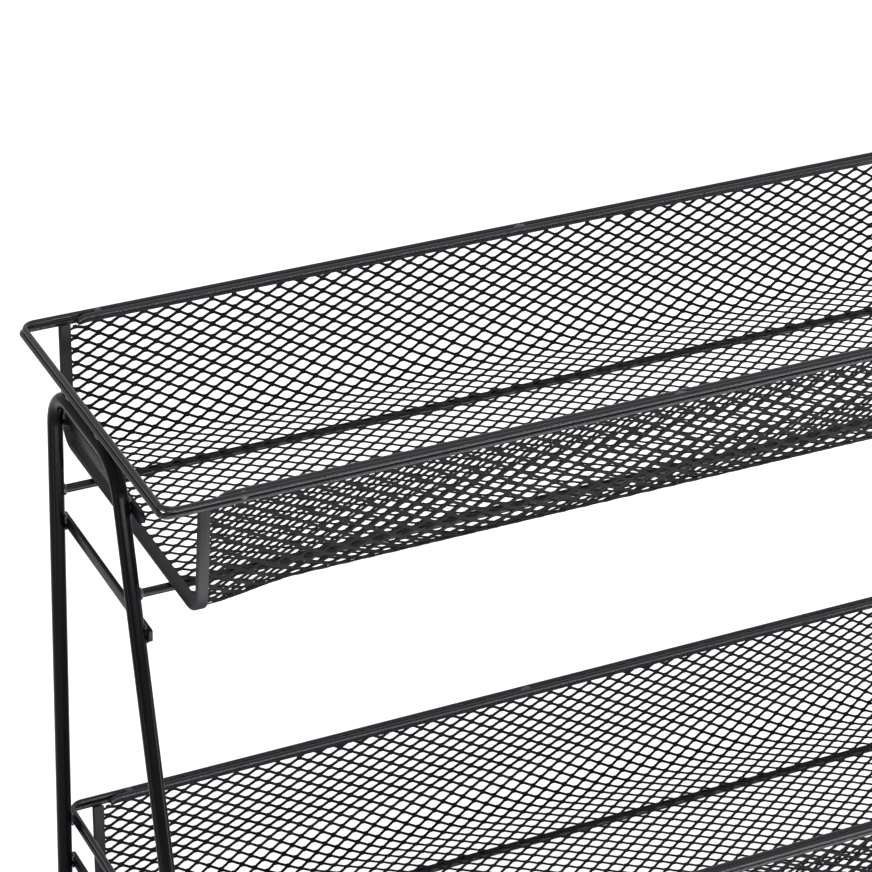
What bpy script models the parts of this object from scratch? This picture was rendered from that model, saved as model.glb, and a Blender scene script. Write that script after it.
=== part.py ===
"""Two-tier organizer rack: two expanded-steel trays welded to a pair of bent side frames.

Lengths are in metres. +X runs along the rack, +Y to its back and +Z up. The origin is on the
surface that the rack stands on, under the middle of its overall length and depth.

A tray's sheet and hems are first made flat. There x runs along the tray, s across the flat
sheet from front to back, and w is the height above the sheet's middle, outwards. The flat
pieces are then bent to the trough, as a press would bend them.
"""

import math

import bmesh
import bpy
from mathutils import Matrix, Vector

MM = 0.001

# Fits between neighbours
SEAT_GAP = 0.3 * MM          # between two pieces that rest on each other
MERGE_DISTANCE = 0.001 * MM  # points closer than this are one point

# Tray sheet
TRAY_LENGTH = 460 * MM       # over the end hems
FLOOR_WIDTH = 154 * MM       # between the walls, where they would meet the floor if it had no bend
RIM_WIDTH = 160.4 * MM       # between the walls at their top edge
WALL_HEIGHT = 60 * MM        # floor to top edge
FLOOR_BEND_RADIUS = 20 * MM  # in the middle of the tray
END_BEND_RADIUS = 10 * MM    # where the end hems hold the sheet
BEND_BLEND_LENGTH = 45 * MM  # from the small radius to the large one
SHEET_THICKNESS = 1.0 * MM
STRAND_WIDTH = 3.2 * MM
MESH_LONG_WAY = 50 * MM      # pitch of the openings along the tray
MESH_SHORT_WAY = 28 * MM     # pitch of the openings across it

# Hems, folded from strip over the sheet's edges
HEM_STRIP_THICKNESS = 0.6 * MM
HEM_FOLD_CHAMFER = 0.5 * MM
RIM_HEM_HEIGHT = 4.4 * MM
END_HEM_WIDTH = 5.4 * MM
RIM_HEM_SETBACK = 9 * MM     # the rim hems stop this far from the tray's ends

# Rim wires, two closed loops outside the hems
RIM_WIRE_DIAMETER = 2.6 * MM
RIM_WIRE_GAP = 0.15 * MM     # between the upper and the lower loop
RIM_WIRE_DROP = 0.6 * MM     # top edge of the hem to the middle of the upper loop
END_WIRE_REACH = 16.2 * MM   # upper tray, end hem to the middle of the upper loop's end wire
UPPER_WIRE_CORNER_RADIUS = 6 * MM
LOWER_WIRE_CORNER_RADIUS = 3.6 * MM
END_WIRE_STAGGER = 0.8 * MM  # how far the lower loop reaches past the upper one

# Cross rods under the floor
ROD_DIAMETER = 4 * MM
FRONT_ROD_OFFSET = 47.2 * MM  # from the tray's middle
REAR_ROD_OFFSET = 42.8 * MM

# Side frames
BAR_DIAMETER = 7 * MM
FRONT_LEG_LEAN_SHARE = 0.31  # forward reach over height
TOP_BEND_RADIUS = 20 * MM

# Foot caps
CAP_WALL = 1.4 * MM
CAP_SLEEVE_LENGTH = 14 * MM
CAP_BASE_THICKNESS = 3.5 * MM
CAP_CHAMFER = 0.7 * MM

# Places of the two trays
LOWER_FLOOR_HEIGHT = 60 * MM
TIER_RISE = 245 * MM         # lower floor to upper floor
TIER_SETBACK = 32 * MM       # how far the upper tray stands behind the lower one

# Flat ties between the legs
TIE_HEIGHT = 6 * MM
TIE_THICKNESS = 2 * MM
TIE_OVERHANG = 3.6 * MM      # past the middle of a leg
TIE_CORNER_RADIUS = 0.8 * MM
GUARD_TIE_RISE = 33.8 * MM   # tray floor to the guard tie's middle
GUARD_TIE_REACH = 48.4 * MM  # from the upper tray's middle to the guard tie's front end
UPPER_UNDER_TIE_DROP = 20.6 * MM  # upper tray floor to the under tie's middle

# Smoothness of round pieces
WIRE_BEVEL_STEPS = 2
ROD_BEVEL_STEPS = 3
BAR_BEVEL_STEPS = 4
CORNER_STEPS = 5
BEND_STEPS = 7
CAP_SIDES = 16
SMOOTH_ANGLE = math.radians(40)

# Worked out from the sizes above
WALL_FLARE = math.atan2((RIM_WIDTH - FLOOR_WIDTH) / 2, WALL_HEIGHT)
BEND_TURN = math.pi / 2 - WALL_FLARE
HEM_INNER_HALF = SHEET_THICKNESS / 2 + SEAT_GAP
HEM_OUTER_HALF = HEM_INNER_HALF + HEM_STRIP_THICKNESS
WIRE_RADIUS = RIM_WIRE_DIAMETER / 2
UPPER_WIRE_HEIGHT = WALL_HEIGHT - RIM_WIRE_DROP
LOWER_WIRE_HEIGHT = UPPER_WIRE_HEIGHT - RIM_WIRE_DIAMETER - RIM_WIRE_GAP
ROD_RADIUS = ROD_DIAMETER / 2
ROD_HEIGHT = -(HEM_OUTER_HALF + SEAT_GAP + ROD_RADIUS)
BAR_RADIUS = BAR_DIAMETER / 2
BAR_X = TRAY_LENGTH / 2 + END_WIRE_REACH
BAR_INNER_X = BAR_X - BAR_RADIUS - SEAT_GAP
UPPER_FLOOR_HEIGHT = LOWER_FLOOR_HEIGHT + TIER_RISE
TOP_RUN_HEIGHT = UPPER_FLOOR_HEIGHT + LOWER_WIRE_HEIGHT - WIRE_RADIUS - SEAT_GAP - BAR_RADIUS
LEG_LEAN = math.atan(FRONT_LEG_LEAN_SHARE)
CAP_RADIUS = BAR_RADIUS + SEAT_GAP + CAP_WALL


def wall_middle(height):
    """Distance from the tray's middle to the middle of a wall, at a height above the floor."""
    return FLOOR_WIDTH / 2 + height * math.tan(WALL_FLARE)


def rim_wire_offset(height):
    """Distance from the tray's middle to a rim wire that lies against the hem at a height."""
    return wall_middle(height) + HEM_OUTER_HALF / math.cos(WALL_FLARE) + SEAT_GAP + WIRE_RADIUS


# Depth positions, with the rack's bounding box centred on the origin
RIM_REACH = rim_wire_offset(UPPER_WIRE_HEIGHT) + WIRE_RADIUS
LEG_REACH = (FRONT_ROD_OFFSET + CAP_RADIUS / math.cos(LEG_LEAN)
             + FRONT_LEG_LEAN_SHARE * (UPPER_FLOOR_HEIGHT + ROD_HEIGHT))
UPPER_TRAY_Y = (LEG_REACH - RIM_REACH) / 2
LOWER_TRAY_Y = UPPER_TRAY_Y - TIER_SETBACK
REAR_LEG_Y = UPPER_TRAY_Y + REAR_ROD_OFFSET


def front_leg_y(height):
    """Where the middle of the front leg is at a height above the ground."""
    rod_height = UPPER_FLOOR_HEIGHT + ROD_HEIGHT
    return UPPER_TRAY_Y - FRONT_ROD_OFFSET - FRONT_LEG_LEAN_SHARE * (rod_height - height)


def clear_scene():
    for old in list(bpy.data.objects):
        bpy.data.objects.remove(old, do_unlink=True)


def make_material(name, colour, roughness, metallic):
    material = bpy.data.materials.new(name)
    material.use_nodes = True
    shader = material.node_tree.nodes["Principled BSDF"]
    shader.inputs["Base Color"].default_value = (*colour, 1)
    shader.inputs["Roughness"].default_value = roughness
    shader.inputs["Metallic"].default_value = metallic
    return material


def finish_mesh(bm, name, material):
    """A mesh from closed faces, with outward normals and smooth round sides."""
    bmesh.ops.recalc_face_normals(bm, faces=bm.faces[:])
    if bm.calc_volume(signed=True) < 0:
        bmesh.ops.reverse_faces(bm, faces=bm.faces[:])
    mesh = bpy.data.meshes.new(name)
    bm.to_mesh(mesh)
    bm.free()
    mesh.shade_smooth()
    mesh.set_sharp_from_angle(angle=SMOOTH_ANGLE)
    mesh.materials.append(material)
    return mesh


def add_object(name, data, place=(0, 0, 0)):
    piece = bpy.data.objects.new(name, data)
    piece.location = place
    bpy.context.scene.collection.objects.link(piece)
    return piece


def round_corners(corners, radius, steps, closed):
    """The points of a path through corners, each turned with an arc of the radius."""
    points = []
    count = len(corners)
    for index, corner in enumerate(corners):
        if not closed and index in (0, count - 1):
            points.append(corner.copy())
            continue
        to_last = (corners[index - 1] - corner).normalized()
        to_next = (corners[(index + 1) % count] - corner).normalized()
        half_angle = to_last.angle(to_next) / 2
        bisector = (to_last + to_next).normalized()
        centre = corner + bisector * (radius / math.sin(half_angle))
        start = corner + to_last * (radius / math.tan(half_angle)) - centre
        axis = to_next.cross(to_last).normalized()
        turn = math.pi - 2 * half_angle
        for step in range(steps + 1):
            points.append(centre + Matrix.Rotation(turn * step / steps, 3, axis) @ start)
    return points


def bar_curve(name, points, diameter, bevel_steps, closed, material):
    """A round bar along a path, as a bevelled curve."""
    curve = bpy.data.curves.new(name, "CURVE")
    curve.dimensions = "3D"
    curve.bevel_depth = diameter / 2
    curve.bevel_resolution = bevel_steps
    curve.use_fill_caps = not closed
    spline = curve.splines.new("POLY")
    spline.points.add(len(points) - 1)
    for spline_point, place in zip(spline.points, points):
        spline_point.co = (*place, 1)
    spline.use_cyclic_u = closed
    spline.use_smooth = True
    curve.materials.append(material)
    return curve


def half_outline(bend_radius):
    """Length of flat floor, bend and wall on one side of the trough's middle."""
    tangent = bend_radius * math.tan(BEND_TURN / 2)
    floor = FLOOR_WIDTH / 2 - tangent
    arc = bend_radius * BEND_TURN
    wall = WALL_HEIGHT / math.cos(WALL_FLARE) - tangent
    return floor, arc, wall


# The flat sheet, from its middle: hem mouth, expanded field, edge inside the folded hem
END_OUTLINE = sum(half_outline(END_BEND_RADIUS))
MOUTH_X = TRAY_LENGTH / 2 - END_HEM_WIDTH
FIELD_HALF_X = MOUTH_X - STRAND_WIDTH / 2
FIELD_HALF_S = END_OUTLINE - RIM_HEM_HEIGHT + STRAND_WIDTH / 2
SHEET_HALF_X = TRAY_LENGTH / 2 - HEM_STRIP_THICKNESS - SEAT_GAP
SHEET_HALF_S = END_OUTLINE - HEM_STRIP_THICKNESS - SEAT_GAP


def bend_radius_at(x):
    """The floor bend opens from the tight end hems to the soft middle of the tray."""
    share = min(max((MOUTH_X - abs(x)) / BEND_BLEND_LENGTH, 0), 1)
    smooth_share = share * share * (3 - 2 * share)
    return END_BEND_RADIUS + (FLOOR_BEND_RADIUS - END_BEND_RADIUS) * smooth_share


def bend_point(flat):
    """Where a point of a flat piece lies once the trough is bent."""
    bend_radius = bend_radius_at(flat.x)
    floor, arc, wall = half_outline(bend_radius)
    run = abs(flat.y) / END_OUTLINE * (floor + arc + wall)
    turn = min(max((run - floor) / bend_radius, 0), BEND_TURN)
    beyond = max(run - floor - arc, 0)
    y = min(run, floor) + (bend_radius + flat.z) * math.sin(turn) + beyond * math.cos(turn)
    z = bend_radius - (bend_radius + flat.z) * math.cos(turn) + beyond * math.sin(turn)
    return Vector((flat.x, math.copysign(y, flat.y), z))


def bend_to_trough(bm):
    for vertex in bm.verts:
        vertex.co = bend_point(vertex.co)


def bend_stations():
    """Places across the flat sheet where the tight end bend needs a fold line."""
    floor, arc, wall = half_outline(END_BEND_RADIUS)
    side = [floor + arc * step / CORNER_STEPS for step in range(CORNER_STEPS + 1)]
    return [-place for place in reversed(side)] + side


def even_steps(start, end, pitch):
    """Places from start up to end, an even number of near half pitches apart."""
    count = 2 * max(1, round((end - start) / pitch))
    return [start + (end - start) * step / count for step in range(count)]


def field_grid():
    """Lattice lines of the expanded field, with one along the middle of each floor bend."""
    floor, arc, _ = half_outline(END_BEND_RADIUS)
    fold = floor + arc / 2
    along = even_steps(-FIELD_HALF_X, FIELD_HALF_X, MESH_LONG_WAY) + [FIELD_HALF_X]
    across = (even_steps(-FIELD_HALF_S, -fold, MESH_SHORT_WAY)
              + even_steps(-fold, fold, MESH_SHORT_WAY)
              + even_steps(fold, FIELD_HALF_S, MESH_SHORT_WAY) + [FIELD_HALF_S])
    return along, across


def opening_cells(along, across):
    """Outlines of the diamonds and edge triangles that tile the expanded field."""
    for j, _ in enumerate(across):
        for i, _ in enumerate(along):
            if (i + j) % 2 == 0:
                continue
            around = [(i - 1, j), (i, j - 1), (i + 1, j), (i, j + 1)]
            yield [(along[a], across[b]) for a, b in around
                   if 0 <= a < len(along) and 0 <= b < len(across)]


def border_cells(along, across):
    """Outlines of the plain border that the hems fold over, with fold lines at its ends."""
    nodes_x = [-SHEET_HALF_X, -MOUTH_X] + along[::2] + [MOUTH_X, SHEET_HALF_X]
    for near, far in ((-SHEET_HALF_S, -FIELD_HALF_S), (FIELD_HALF_S, SHEET_HALF_S)):
        for left, right in zip(nodes_x, nodes_x[1:]):
            yield [(left, near), (right, near), (right, far), (left, far)]
    nodes_s = across[::2]
    stations = sorted(nodes_s + bend_stations())
    for side in (-1, 1):
        for low, high in zip(nodes_s, nodes_s[1:]):
            edge = [(side * MOUTH_X, s) for s in stations if low <= s <= high]
            yield [(side * FIELD_HALF_X, high), (side * FIELD_HALF_X, low)] + edge
        for low, high in zip(stations, stations[1:]):
            yield [(side * MOUTH_X, low), (side * SHEET_HALF_X, low),
                   (side * SHEET_HALF_X, high), (side * MOUTH_X, high)]


def flat_faces(bm, cells):
    return [bm.faces.new([bm.verts.new((x, s, 0)) for x, s in cell]) for cell in cells]


def expanded_sheet(name, material):
    """The tray's sheet: diamond openings between strands, inside a plain border."""
    along, across = field_grid()
    bm = bmesh.new()
    flat_faces(bm, opening_cells(along, across))
    bmesh.ops.remove_doubles(bm, verts=bm.verts[:], dist=MERGE_DISTANCE)
    openings = bm.faces[:]
    bmesh.ops.inset_individual(bm, faces=openings, thickness=STRAND_WIDTH / 2,
                               use_even_offset=True)
    bmesh.ops.delete(bm, geom=openings, context="FACES")
    flat_faces(bm, border_cells(along, across))
    bmesh.ops.remove_doubles(bm, verts=bm.verts[:], dist=MERGE_DISTANCE)
    bmesh.ops.recalc_face_normals(bm, faces=bm.faces[:])
    bmesh.ops.solidify(bm, geom=bm.faces[:], thickness=SHEET_THICKNESS)
    lowest = min(vertex.co.z for vertex in bm.verts)
    for vertex in bm.verts:
        vertex.co.z -= lowest + SHEET_THICKNESS / 2
    bend_to_trough(bm)
    return finish_mesh(bm, name, material)


def hem_section(width):
    """A folded strip seen end-on, as (depth behind the fold's outside, height) pairs."""
    outer = HEM_OUTER_HALF
    inner = HEM_INNER_HALF
    fold = outer - HEM_FOLD_CHAMFER
    return [(width, -outer), (HEM_FOLD_CHAMFER, -outer), (0, -fold), (0, fold),
            (HEM_FOLD_CHAMFER, outer), (width, outer), (width, inner),
            (HEM_STRIP_THICKNESS, inner), (HEM_STRIP_THICKNESS, -inner), (width, -inner)]


def channel(name, rings, material):
    """A closed solid through rings of points, bent to the trough."""
    bm = bmesh.new()
    rows = [[bm.verts.new(point) for point in ring] for ring in rings]
    count = len(rows[0])
    for near, far in zip(rows, rows[1:]):
        for index in range(count):
            after = (index + 1) % count
            bm.faces.new((near[index], near[after], far[after], far[index]))
    bm.faces.new(rows[0])
    bm.faces.new(rows[-1])
    bend_to_trough(bm)
    return finish_mesh(bm, name, material)


def end_hem(name, side, material):
    """The hem over an open end: down one wall, across the floor and up the other."""
    stations = [-END_OUTLINE] + bend_stations() + [END_OUTLINE]
    rings = [[(side * (TRAY_LENGTH / 2 - depth), s, height)
              for depth, height in hem_section(END_HEM_WIDTH)] for s in stations]
    return channel(name, rings, material)


def rim_hem(name, side, material):
    """The hem over a long top edge, ending a little short of the end hems."""
    half_length = TRAY_LENGTH / 2 - RIM_HEM_SETBACK
    rings = [[(x, side * (END_OUTLINE - depth), height)
              for depth, height in hem_section(RIM_HEM_HEIGHT)] for x in (-half_length, half_length)]
    return channel(name, rings, material)


def rim_wire(name, height, half_length, corner_radius, material):
    """A closed rim loop at a height above the tray's floor."""
    half_depth = rim_wire_offset(height)
    corners = [Vector((x, y, height)) for x, y in (
        (-half_length, -half_depth), (half_length, -half_depth),
        (half_length, half_depth), (-half_length, half_depth))]
    points = round_corners(corners, corner_radius, CORNER_STEPS, closed=True)
    return bar_curve(name, points, RIM_WIRE_DIAMETER, WIRE_BEVEL_STEPS, True, material)


def cross_rod(name, y, material):
    """A straight rod under the floor, from side frame to side frame."""
    ends = [Vector((x, y, ROD_HEIGHT)) for x in (-BAR_INNER_X, BAR_INNER_X)]
    return bar_curve(name, ends, ROD_DIAMETER, ROD_BEVEL_STEPS, False, material)


def add_tray(prefix, y, floor_height, lower_wire_x, materials):
    """All nine pieces of a tray whose floor middle is at the given place."""
    place = (0, y, floor_height)
    upper_wire_x = lower_wire_x - END_WIRE_STAGGER
    pieces = {
        "tray_mesh": expanded_sheet("tray_mesh", materials["mesh"]),
        "front_rim_hem": rim_hem("front_rim_hem", -1, materials["hem"]),
        "back_rim_hem": rim_hem("back_rim_hem", 1, materials["hem"]),
        "left_end_hem": end_hem("left_end_hem", -1, materials["hem"]),
        "right_end_hem": end_hem("right_end_hem", 1, materials["hem"]),
        "top_rim_wire": rim_wire("top_rim_wire", UPPER_WIRE_HEIGHT, upper_wire_x,
                                 UPPER_WIRE_CORNER_RADIUS, materials["wire"]),
        "bottom_rim_wire": rim_wire("bottom_rim_wire", LOWER_WIRE_HEIGHT, lower_wire_x,
                                    LOWER_WIRE_CORNER_RADIUS, materials["wire"]),
        "front_cross_rod": cross_rod("front_cross_rod", -FRONT_ROD_OFFSET, materials["rod"]),
        "rear_cross_rod": cross_rod("rear_cross_rod", REAR_ROD_OFFSET, materials["rod"]),
    }
    for name, data in pieces.items():
        add_object(f"{prefix}_{name}", data, place)


def side_frame(name, material):
    """One bar bent into a sloping front leg, a level top run and an upright rear leg."""
    lift = CAP_BASE_THICKNESS + SEAT_GAP
    front_lift = lift * math.cos(LEG_LEAN)
    corners = [Vector((0, front_leg_y(front_lift), front_lift)),
               Vector((0, front_leg_y(TOP_RUN_HEIGHT), TOP_RUN_HEIGHT)),
               Vector((0, REAR_LEG_Y, TOP_RUN_HEIGHT)),
               Vector((0, REAR_LEG_Y, lift))]
    points = round_corners(corners, TOP_BEND_RADIUS, BEND_STEPS, closed=False)
    return bar_curve(name, points, BAR_DIAMETER, BAR_BEVEL_STEPS, False, material)


def foot_cap(name, lean, material):
    """A sleeve with a closed base around the lower end of a leg, cut level with the ground."""
    below = CAP_RADIUS * math.tan(abs(lean)) + CAP_BASE_THICKNESS
    bm = bmesh.new()
    ring = bmesh.ops.create_circle(bm, cap_ends=True, segments=CAP_SIDES, radius=CAP_RADIUS)
    bmesh.ops.rotate(bm, cent=(0, 0, 0), verts=bm.verts[:],
                     matrix=Matrix.Rotation(math.pi / 2, 3, "Z"))
    bmesh.ops.translate(bm, verts=ring["verts"], vec=(0, 0, -below))
    face = ring["verts"][0].link_faces[0]
    for rise, new_radius in ((below + CAP_SLEEVE_LENGTH - CAP_CHAMFER, CAP_RADIUS),
                             (CAP_CHAMFER, CAP_RADIUS - CAP_CHAMFER),
                             (0, BAR_RADIUS + SEAT_GAP),
                             (CAP_BASE_THICKNESS - CAP_SLEEVE_LENGTH, BAR_RADIUS + SEAT_GAP)):
        face = raise_round_face(bm, face, rise, new_radius)
    bmesh.ops.rotate(bm, cent=(0, 0, 0), verts=bm.verts[:],
                     matrix=Matrix.Rotation(-lean, 3, "X"))
    cut = bmesh.ops.bisect_plane(bm, geom=bm.verts[:] + bm.edges[:] + bm.faces[:],
                                 plane_co=(0, 0, 0), plane_no=(0, 0, 1), clear_inner=True)
    rim = [item for item in cut["geom_cut"] if isinstance(item, bmesh.types.BMEdge)]
    bmesh.ops.edgeloop_fill(bm, edges=rim)
    return finish_mesh(bm, name, material)


def raise_round_face(bm, face, rise, new_radius):
    """Extrude a level round face upwards and give its copy a new radius."""
    new_face = bmesh.ops.extrude_discrete_faces(bm, faces=[face])["faces"][0]
    for vertex in new_face.verts:
        scale = new_radius / vertex.co.xy.length
        vertex.co = Vector((vertex.co.x * scale, vertex.co.y * scale, vertex.co.z + rise))
    return new_face


def tie_bar(name, front_y, rear_y, end_radius, material):
    """A flat bar on edge along Y, with its ends rounded to a radius."""
    low, high = -TIE_HEIGHT / 2, TIE_HEIGHT / 2
    corners = [Vector((-TIE_THICKNESS / 2, y, z)) for y, z in (
        (front_y, low), (rear_y, low), (rear_y, high), (front_y, high))]
    outline = round_corners(corners, end_radius, CORNER_STEPS, closed=True)
    bm = bmesh.new()
    face = bm.faces.new([bm.verts.new(point) for point in outline])
    grown = bmesh.ops.extrude_face_region(bm, geom=[face], use_keep_orig=True)["geom"]
    moved = [item for item in grown if isinstance(item, bmesh.types.BMVert)]
    bmesh.ops.translate(bm, verts=moved, vec=(TIE_THICKNESS, 0, 0))
    return finish_mesh(bm, name, material)


def tie_rows():
    """Name, height, front end, rear end and end radius of the ties on one side."""
    rear_end = REAR_LEG_Y + TIE_OVERHANG
    full_round = TIE_HEIGHT / 2 - MERGE_DISTANCE
    upper_guard = UPPER_FLOOR_HEIGHT + GUARD_TIE_RISE
    upper_under = UPPER_FLOOR_HEIGHT - UPPER_UNDER_TIE_DROP
    lower_guard = LOWER_FLOOR_HEIGHT + GUARD_TIE_RISE
    lower_under = LOWER_FLOOR_HEIGHT + ROD_HEIGHT - ROD_RADIUS - SEAT_GAP - TIE_HEIGHT / 2
    guard_overhang = GUARD_TIE_REACH + front_leg_y(upper_guard) - UPPER_TRAY_Y
    return [
        ("upper_guard_tie", upper_guard, front_leg_y(upper_guard) - guard_overhang, rear_end,
         full_round),
        ("upper_under_tie", upper_under, front_leg_y(upper_under) - TIE_OVERHANG, rear_end,
         TIE_CORNER_RADIUS),
        ("lower_guard_tie", lower_guard, front_leg_y(lower_guard) - guard_overhang, rear_end,
         full_round),
        ("lower_under_tie", lower_under, front_leg_y(lower_under) - TIE_OVERHANG, rear_end,
         TIE_CORNER_RADIUS),
    ]


def add_stand(materials):
    """Both side frames, with their foot caps and ties."""
    tie_x = BAR_INNER_X - TIE_THICKNESS / 2
    for side_name, side in (("left", -1), ("right", 1)):
        add_object(f"{side_name}_side_frame", side_frame("side_frame", materials["bar"]),
                   (side * BAR_X, 0, 0))
        add_object(f"{side_name}_front_foot_cap", foot_cap("front_cap", LEG_LEAN, materials["foot"]),
                   (side * BAR_X, front_leg_y(0), 0))
        add_object(f"{side_name}_rear_foot_cap", foot_cap("rear_cap", 0, materials["foot"]),
                   (side * BAR_X, REAR_LEG_Y, 0))
        for name, height, front_y, rear_y, end_radius in tie_rows():
            add_object(f"{side_name}_{name}",
                       tie_bar(name, front_y, rear_y, end_radius, materials["tie"]),
                       (side * tie_x, 0, height))


def main():
    clear_scene()
    materials = {
        "mesh": make_material("mesh_coating", (0.012, 0.011, 0.013), 0.45, 0),
        "hem": make_material("hem_coating", (0.022, 0.020, 0.025), 0.4, 0),
        "wire": make_material("wire_coating", (0.020, 0.019, 0.023), 0.35, 0),
        "rod": make_material("rod_coating", (0.018, 0.017, 0.021), 0.4, 0),
        "bar": make_material("bar_coating", (0.014, 0.013, 0.016), 0.3, 0),
        "tie": make_material("tie_coating", (0.016, 0.015, 0.018), 0.35, 0),
        "foot": make_material("foot_rubber", (0.010, 0.010, 0.010), 0.7, 0),
    }
    add_tray("upper", UPPER_TRAY_Y, UPPER_FLOOR_HEIGHT, BAR_X + END_WIRE_STAGGER, materials)
    add_tray("lower", LOWER_TRAY_Y, LOWER_FLOOR_HEIGHT, BAR_INNER_X - WIRE_RADIUS, materials)
    add_stand(materials)


main()
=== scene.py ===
"""Looks of the two-tier organizer rack: fine expanded mesh, folded hems, round wires and coatings.

Lengths are in metres. +X runs along the rack, +Y to its back and +Z up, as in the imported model.
"""

import math

import bpy
from mathutils import Euler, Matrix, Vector, noise


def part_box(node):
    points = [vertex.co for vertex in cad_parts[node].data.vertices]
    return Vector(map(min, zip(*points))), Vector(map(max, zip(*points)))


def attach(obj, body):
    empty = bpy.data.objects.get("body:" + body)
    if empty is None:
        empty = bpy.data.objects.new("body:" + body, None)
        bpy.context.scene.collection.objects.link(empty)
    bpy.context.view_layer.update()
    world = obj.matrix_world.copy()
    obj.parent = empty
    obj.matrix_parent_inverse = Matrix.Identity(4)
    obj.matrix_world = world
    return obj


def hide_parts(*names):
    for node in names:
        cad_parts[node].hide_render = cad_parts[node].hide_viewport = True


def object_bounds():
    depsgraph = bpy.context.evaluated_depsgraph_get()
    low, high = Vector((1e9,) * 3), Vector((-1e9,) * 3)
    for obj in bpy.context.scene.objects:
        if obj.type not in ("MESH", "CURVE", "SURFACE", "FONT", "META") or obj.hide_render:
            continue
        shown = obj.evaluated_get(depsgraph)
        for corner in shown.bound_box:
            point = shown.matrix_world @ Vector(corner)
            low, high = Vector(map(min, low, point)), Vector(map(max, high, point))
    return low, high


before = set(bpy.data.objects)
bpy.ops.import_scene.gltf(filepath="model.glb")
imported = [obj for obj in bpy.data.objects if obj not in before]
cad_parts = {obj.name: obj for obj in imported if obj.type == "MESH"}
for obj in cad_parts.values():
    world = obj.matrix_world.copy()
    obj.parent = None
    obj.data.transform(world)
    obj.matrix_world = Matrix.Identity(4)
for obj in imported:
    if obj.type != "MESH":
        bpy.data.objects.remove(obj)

cad_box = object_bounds()
bpy.ops.object.select_all(action="DESELECT")

MM = 0.001

# The photograph's camera
CAMERA_PLACE = (-0.71525, -1.20583, 1.16423)
CAMERA_TURN_DEGREES = (58.55105, -2.02575, -25.93753)
CAMERA_LENS = 149.341
CAMERA_SENSOR = 36
CAMERA_FAR = 50

# Studio
WHITE = (1, 1, 1, 1)
FLOOR_SIZE = 8
FLOOR_ROUGHNESS = 0.9
FLOOR_GLOW = 0.35                   # keeps the floor pale, and only the camera sees it
WORLD_SOFT_STRENGTH = 0.5           # on what scatters light
WORLD_SEEN_STRENGTH = 1             # to the camera and in reflections

# Area lights: middle, point they face, size across and along, and power in watts
LIGHTS = {
    "top_softbox": dict(place=(0.3, -0.2, 2.2), target=(0, 0, 0.2), size=(2.4, 2.0),
                        power=40, glossy=False),
    "front_low_strip": dict(place=(0, -0.42, 0.03), target=(0, -0.1, 0.36), size=(1.4, 0.08),
                            power=4.6),
    "front_level_strip": dict(place=(0, -1.0, 0.42), target=(0, 0, 0.364), size=(1.6, 0.05),
                              power=8),
    "left_low_strip": dict(place=(-0.62, -0.1, 0.05), target=(-0.2, 0, 0.36), size=(0.08, 1.2),
                           power=1.2),
    "right_panel": dict(place=(0.8, -0.3, 0.15), target=(-0.25, -0.05, 0.25), size=(0.5, 0.6),
                        power=0.9),
}

# Trough of a tray
TRAY_LENGTH = 460 * MM
FLOOR_WIDTH = 154 * MM
RIM_WIDTH = 160.4 * MM
WALL_HEIGHT = 60 * MM
FLOOR_BEND_RADIUS = 20 * MM
END_BEND_RADIUS = 10 * MM
BEND_BLEND_LENGTH = 45 * MM
SHEET_THICKNESS = 1.0 * MM

# Expanded mesh
MESH_LONG_WAY = 11 * MM
MESH_SHORT_WAY = 6.763 * MM
MESH_SHIFT_X = -2.1 * MM            # where the sheet happens to be cut from its roll
MESH_SHIFT_S = -2.45 * MM
MESH_SLANT = -0.02                  # it is cut a little askew: its rows slope along the tray
# Places across the flat sheet, and how far the rows are drawn aside there
MESH_DRAWN = [(s * MM, drawn * MM) for s, drawn in (
    (-140, 0.4), (-92, 0.2), (-34, -3.2), (27, 0.8), (55, 1.4), (90, 0), (140, -0.5))]
STRAND_WIDTH = 1.28 * MM
STRAND_THICKNESS = 0.5 * MM
BOND_LENGTH = 1.7 * MM
BOND_REACH = 0.4 * MM               # how far the slit ends lie beyond the bond's flat
STRAND_TILT = math.radians(8)
PRESSED_TILT = math.radians(6)      # inside the hems, which press the strands flat

# Hems
HEM_STRIP_THICKNESS = 0.6 * MM
END_HEM_HALF = 1.1 * MM             # sheet's middle to the strip's middle
RIM_HEM_HALF = 1.2 * MM
RIM_HEM_HEIGHT = 4.0 * MM
RIM_HEM_RISE = 0.5 * MM             # how far the fold stands above the sheet's edge
RIM_HEM_PINCH = 0.45 * MM           # how far each leaf closes on the sheet below its round fold
PINCH_STEPS = 7
END_HEM_WIDTH = 5.4 * MM
RIM_HEM_SETBACK = 9 * MM            # tray's end to the rim hem's end
RIM_DIP = 2.6 * MM                  # how much lower the top edge is at the tray's ends
RIM_DIP_LENGTH = 5.5 * MM           # from the rim hem's end to its full height
RIM_DIP_DEPTH = 9 * MM              # how far down the wall the dip is felt
HEM_EDGE_RADIUS = 0.15 * MM
HEM_CORNER_RADIUS = 1.6 * MM
HEM_FOLD_STEPS = 8
HEM_EDGE_STEPS = 2
HEM_CORNER_STEPS = 4
RIM_HEM_SPANS = 20                  # even lengths that a rim hem is cut into
DIP_STEPS = 8

# Wires, rods and bars
WIRE_RADIUS = 1.3 * MM
WIRE_CORNER_RADII = {"top": 6 * MM, "bottom": 3.6 * MM}
WIRE_TUCKS = {"top": 0 * MM, "bottom": 0.25 * MM}     # how far a wire sits in under the other
ROD_RADIUS = 2 * MM
BAR_RADIUS = 3.5 * MM
BAR_BEND_RADIUS = 20 * MM
ROUND_SIDES = 24
CORNER_STEPS = 12
LEG_LEAN_SHARE = 0.31               # forward reach over height

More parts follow.
